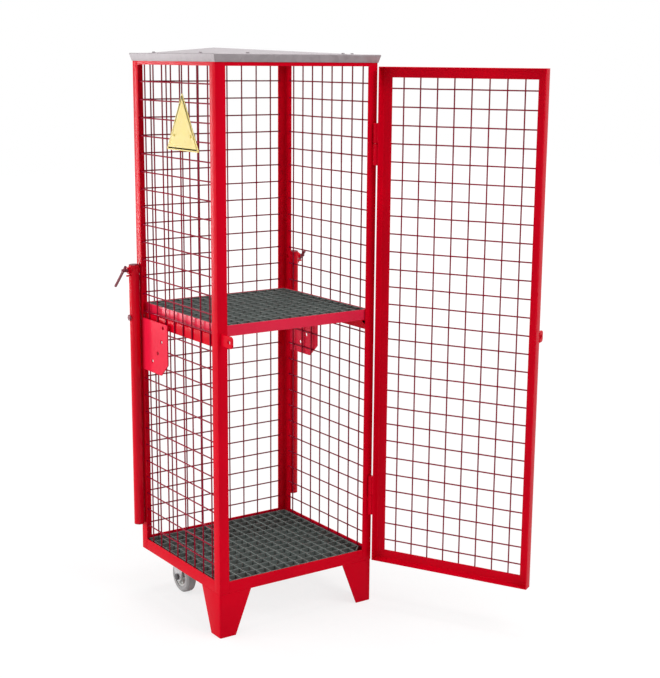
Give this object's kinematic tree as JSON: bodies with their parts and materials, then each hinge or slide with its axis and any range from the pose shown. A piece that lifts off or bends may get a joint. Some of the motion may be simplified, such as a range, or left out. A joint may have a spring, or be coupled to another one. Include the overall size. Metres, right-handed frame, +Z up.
{
  "type": "gas cylinder cabinet",
  "caption": "Free-standing mesh cabinet with grated floor, loose shelf, padlockable door, fold-out push handles and rear castors, for storing and moving gas cylinders.",
  "frame": {"origin": "centre of the cabinet's footprint on the floor, midway between its outer posts; the door that stands open isn't counted", "axes": "+Z up, +Y to the back, so the door side faces -Y, and +X to the right as seen from the front"},
  "size_m": [0.8266, 0.9464, 1.5975],
  "materials": {
    "red_paint": "gloss",
    "galvanised_sheet": "spangled, semi-matt",
    "dark_grating": "matt",
    "zinc_plate": "satin",
    "grey_tyre": "matt",
    "grey_hub": "matt",
    "dark_red_lacquer": "semi-gloss",
    "yellow_enamel": "semi-gloss"
  },
  "bodies": {
    "cabinet": {"base_rail_front": "red_paint", "base_rail_left": "red_paint", "base_rail_rear": "red_paint", "base_rail_right": "red_paint", "castor_axles": "zinc_plate", "castor_bar": "red_paint", "castor_bolts": "zinc_plate", "castor_fork_left": "zinc_plate", "castor_fork_right": "zinc_plate", "floor_grating": "dark_grating", "foot_left": "red_paint", "foot_right": "red_paint", "hinge_pins": "zinc_plate", "hinge_post_barrels": "red_paint", "hinge_washers": "red_paint", "mesh_left": "red_paint", "mesh_rear": "red_paint", "mesh_right": "red_paint", "pivot_bolts": "dark_red_lacquer", "pivot_nuts": "dark_red_lacquer", "post_front_left": "red_paint", "post_front_right": "red_paint", "post_lug": "red_paint", "post_rear_left": "red_paint", "post_rear_right": "red_paint", "quadrant_plate_left": "red_paint", "quadrant_plate_right": "red_paint", "roof_screws": "galvanised_sheet", "roof_sheet": "galvanised_sheet", "shelf_bearer_left": "red_paint", "shelf_bearer_right": "red_paint", "sign_fixings": "zinc_plate", "sign_plate": "yellow_enamel", "top_rail_front": "red_paint", "top_rail_left": "red_paint", "top_rail_rear": "red_paint", "top_rail_right": "red_paint"},
    "door": {"door_lug": "red_paint", "door_mesh": "red_paint", "door_rail_bottom": "red_paint", "door_rail_top": "red_paint", "door_stile_free": "red_paint", "door_stile_hinge": "red_paint", "hinge_door_barrels": "red_paint"},
    "shelf": {"shelf_frame": "red_paint", "shelf_grating": "dark_grating"},
    "handle_left": {"handle_bushes_left": "red_paint", "handle_plugs_left": "dark_red_lacquer", "handle_tube_left": "red_paint"},
    "handle_right": {"handle_bushes_right": "red_paint", "handle_plugs_right": "dark_red_lacquer", "handle_tube_right": "red_paint"},
    "pin_left": {"index_pin_left": "dark_red_lacquer", "tee_bar_left": "dark_red_lacquer"},
    "pin_right": {"index_pin_right": "dark_red_lacquer", "tee_bar_right": "dark_red_lacquer"},
    "wheel_left": {"wheel_hub_left": "grey_hub", "wheel_tyre_left": "grey_tyre"},
    "wheel_right": {"wheel_hub_right": "grey_hub", "wheel_tyre_right": "grey_tyre"}
  },
  "joints": [
    {"name": "door_hinge", "type": "hinge", "parent": "cabinet", "child": "door", "pos_m": [0.2475, -0.2385, 0], "axis": [0, 0, 1], "range_deg": [-117.3, 62.7]},
    {"name": "shelf_lift", "type": "slide", "parent": "cabinet", "child": "shelf", "axis": [0, 0, 1], "range_m": [0, 0.15]},
    {"name": "handle_left_swing", "type": "hinge", "parent": "cabinet", "child": "handle_left", "pos_m": [-0.273, 0.215, 0.835], "axis": [1, 0, 0], "range_deg": [0, 149]},
    {"name": "handle_right_swing", "type": "hinge", "parent": "cabinet", "child": "handle_right", "pos_m": [0.273, 0.215, 0.835], "axis": [1, 0, 0], "range_deg": [0, 149]},
    {"name": "pin_left_slide", "type": "slide", "parent": "handle_left", "child": "pin_left", "axis": [1, 0, 0], "range_m": [0, 0.0055]},
    {"name": "pin_right_slide", "type": "slide", "parent": "handle_right", "child": "pin_right", "axis": [-1, 0, 0], "range_m": [0, 0.0055]},
    {"name": "wheel_left_spin", "type": "hinge", "parent": "cabinet", "child": "wheel_left", "pos_m": [-0.168, 0.134, 0.05], "axis": [1, 0, 0], "continuous": true},
    {"name": "wheel_right_spin", "type": "hinge", "parent": "cabinet", "child": "wheel_right", "pos_m": [0.168, 0.134, 0.05], "axis": [1, 0, 0], "continuous": true}
  ]
}
